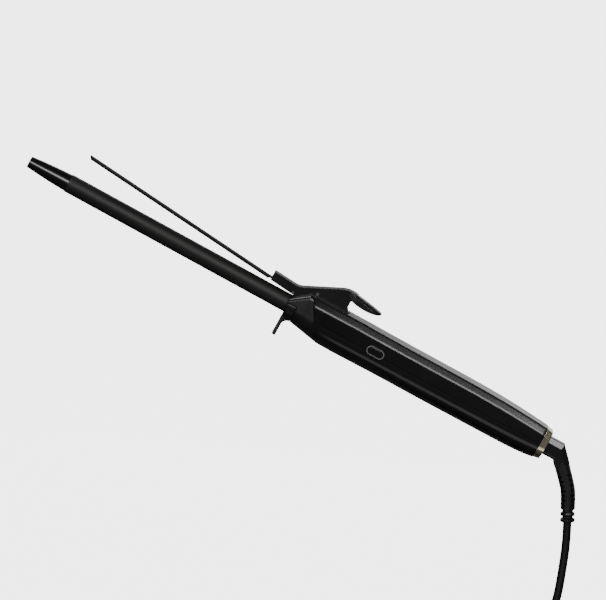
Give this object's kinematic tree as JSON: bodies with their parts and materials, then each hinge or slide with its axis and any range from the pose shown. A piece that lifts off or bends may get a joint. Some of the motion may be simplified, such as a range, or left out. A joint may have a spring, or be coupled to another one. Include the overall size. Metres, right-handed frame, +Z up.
{
  "type": "curling iron",
  "caption": "Slim hair curling iron with an open spring clip, thumb lever, stand leg, side button, swivel cord and plug, held up as in use.",
  "frame": {"origin": "on the iron's axis at the middle of the grip, where a hand holds it", "axes": "the barrel runs towards -X and upwards at 28.7 degrees, the cord end towards +X and down, +Z up; the power button faces -Y"},
  "size_m": [0.3717, 0.0673, 0.3524],
  "materials": {
    "gloss_black": "gloss moulded",
    "barrel_coating": "matte ceramic coating",
    "ceramic": "ceramic heater pack",
    "bare_aluminium": "as extruded",
    "glass_bead": "glass-sleeved bead",
    "bare_steel": "zinc plated",
    "satin_black": "satin moulded, heat resistant",
    "dark_resin": "glass-filled resin",
    "handle_black": "semi-gloss moulded, faint grain",
    "black_steel": "blackened",
    "lever_black": "semi-gloss moulded",
    "clip_coating": "satin coated",
    "bezel_grey": "dark satin",
    "button_black": "gloss moulded",
    "board_green": "solder mask",
    "component_black": "moulded",
    "lead_white": "silicone insulated",
    "pale_gold": "polished, pale gold plated",
    "brass_strip": "bare",
    "elbow_black": "semi-gloss moulded",
    "boot_rubber": "moulded soft",
    "cord_black": "satin sheath",
    "tie_black": "hook and loop band",
    "plug_black": "moulded",
    "plated_pin": "nickel plated"
  },
  "bodies": {
    "handle": {"cool_tip": "gloss_black", "barrel_tube": "barrel_coating", "heater_core": "ceramic", "heat_spreader_upper": "bare_aluminium", "heat_spreader_lower": "bare_aluminium", "thermistor": "glass_bead", "thermal_fuse": "bare_steel", "stand_collar": "satin_black", "barrel_saddle": "dark_resin", "nose_cone": "satin_black", "handle_upper_shell": "handle_black", "handle_lower_shell": "handle_black", "tail_cover": "handle_black", "shell_screws": "bare_steel", "hinge_bracket": "bare_steel", "bracket_screws": "bare_steel", "hinge_pin": "black_steel", "lever_spring": "bare_steel", "button_bezel": "bezel_grey", "control_board": "board_green", "tact_switch": "component_black", "board_parts": "component_black", "heater_leads": "lead_white", "end_ring": "pale_gold", "swivel_housing": "dark_resin", "contact_springs": "brass_strip", "supply_leads": "lead_white", "cord_tube": "cord_black", "cord_hank": "cord_black", "cord_tie": "tie_black", "plug_body": "plug_black", "plug_pins": "plated_pin"},
    "clip": {"thumb_lever": "lever_black", "clip_blade": "clip_coating", "blade_rivet": "black_steel"},
    "button": {"power_button": "button_black"},
    "swivel": {"swivel_core": "dark_resin", "slip_rings": "brass_strip", "swivel_elbow": "elbow_black", "strain_relief": "boot_rubber"}
  },
  "joints": [
    {"name": "clip_hinge", "type": "hinge", "parent": "handle", "child": "clip", "pos_m": [-0.06876, 0, 0.05577], "axis": [0, 1, 0], "range_deg": [-5.3, 10], "stiffness_Nm_per_rad": 0.25, "springref_deg": -20.05, "deforming": ["lever_spring"]},
    {"name": "button_press", "type": "slide", "parent": "handle", "child": "button", "axis": [0, 1, 0], "range_m": [0, 0.0006], "stiffness_N_per_m": 600, "springref_m": -0.0006},
    {"name": "cord_swivel", "type": "hinge", "parent": "handle", "child": "swivel", "pos_m": [0.08614, 0, -0.04716], "axis": [0.8771, 0, -0.4802], "continuous": true}
  ]
}
